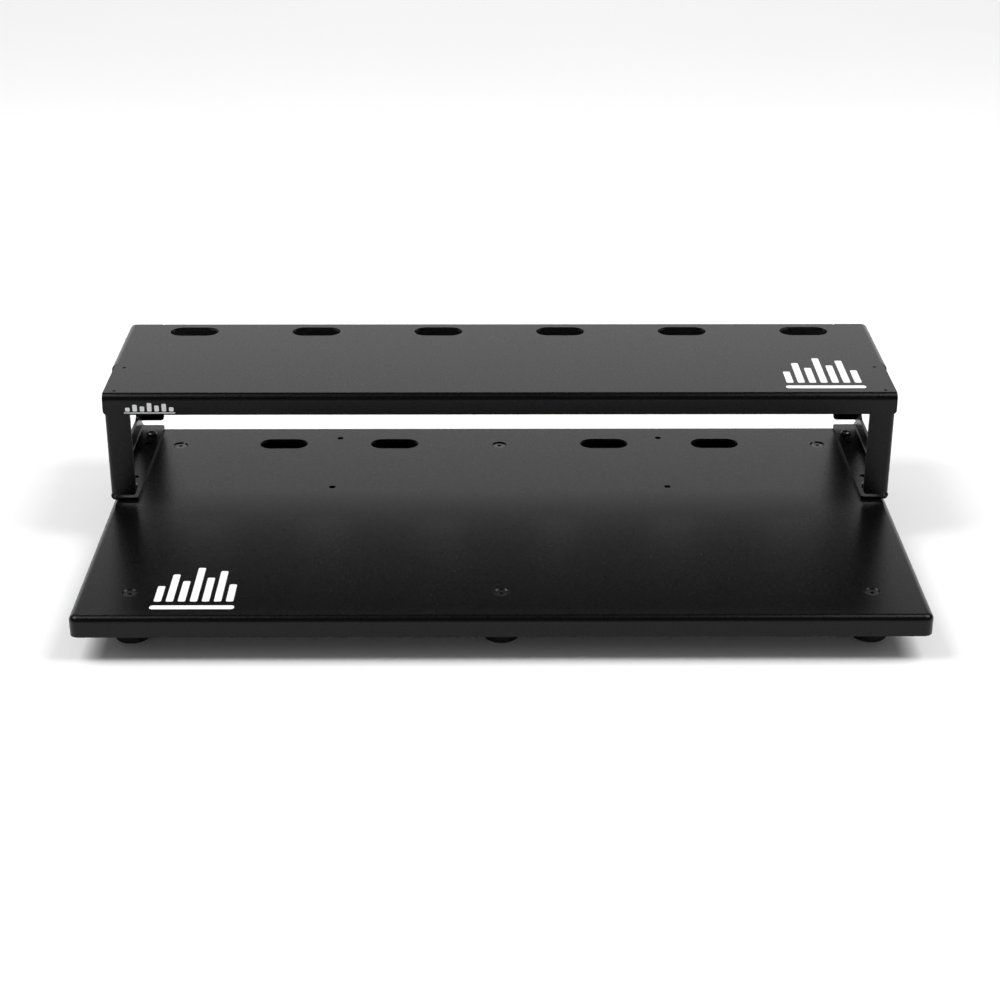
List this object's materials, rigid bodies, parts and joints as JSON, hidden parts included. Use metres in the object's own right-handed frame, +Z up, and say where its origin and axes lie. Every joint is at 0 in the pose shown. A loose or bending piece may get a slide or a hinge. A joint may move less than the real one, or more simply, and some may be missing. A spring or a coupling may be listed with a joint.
{
  "type": "two-tier pedalboard",
  "caption": "Pedalboard: a shallow bent-sheet tray on rubber feet, with slots for cables and a raised rear deck on side brackets that hinges up for access.",
  "frame": {"origin": "on the floor under the feet, in the middle of the whole footprint, which is the tray plus the riser deck's overhang at the rear", "axes": "+X along the length towards the player's right, +Y to the rear where the riser stands, +Z up"},
  "size_m": [0.8312, 0.4736, 0.1675],
  "materials": {
    "tray_coat": "satin black powder coat",
    "deck_coat": "satin black powder coat",
    "bracket_coat": "satin black powder coat",
    "foot_rubber": "matt black rubber",
    "bumper_rubber": "matt black rubber",
    "screw_black": "black oxide",
    "zinc_steel": "zinc plated",
    "spacer_nylon": "black nylon"
  },
  "bodies": {
    "base": {"base_tray": "tray_coat", "foot_front_left": "foot_rubber", "foot_screw_front_left": "screw_black", "foot_washer_front_left": "zinc_steel", "foot_nut_front_left": "zinc_steel", "foot_front_centre": "foot_rubber", "foot_screw_front_centre": "screw_black", "foot_washer_front_centre": "zinc_steel", "foot_nut_front_centre": "zinc_steel", "foot_front_right": "foot_rubber", "foot_screw_front_right": "screw_black", "foot_washer_front_right": "zinc_steel", "foot_nut_front_right": "zinc_steel", "foot_rear_left": "foot_rubber", "foot_screw_rear_left": "screw_black", "foot_washer_rear_left": "zinc_steel", "foot_nut_rear_left": "zinc_steel", "foot_rear_centre": "foot_rubber", "foot_screw_rear_centre": "screw_black", "foot_washer_rear_centre": "zinc_steel", "foot_nut_rear_centre": "zinc_steel", "foot_rear_right": "foot_rubber", "foot_screw_rear_right": "screw_black", "foot_washer_rear_right": "zinc_steel", "foot_nut_rear_right": "zinc_steel", "bracket_left": "bracket_coat", "bracket_screw_left_front": "screw_black", "bracket_washer_left_front": "zinc_steel", "bracket_nut_left_front": "zinc_steel", "bracket_screw_left_rear": "screw_black", "bracket_washer_left_rear": "zinc_steel", "bracket_nut_left_rear": "zinc_steel", "bracket_right": "bracket_coat", "bracket_screw_right_front": "screw_black", "bracket_washer_right_front": "zinc_steel", "bracket_nut_right_front": "zinc_steel", "bracket_screw_right_rear": "screw_black", "bracket_washer_right_rear": "zinc_steel", "bracket_nut_right_rear": "zinc_steel", "pivot_bolt_left": "screw_black", "pivot_spacer_left": "spacer_nylon", "pivot_nut_left": "zinc_steel", "pivot_bolt_right": "screw_black", "pivot_spacer_right": "spacer_nylon", "pivot_nut_right": "zinc_steel"},
    "riser": {"riser_deck": "deck_coat", "bumper_left_front": "bumper_rubber", "bumper_left_middle": "bumper_rubber", "bumper_right_front": "bumper_rubber", "bumper_right_middle": "bumper_rubber"}
  },
  "joints": [
    {"name": "riser_hinge", "type": "hinge", "parent": "base", "child": "riser", "pos_m": [0, 0.2108, 0.154], "axis": [-1, 0, 0], "range_deg": [0, 93]}
  ]
}
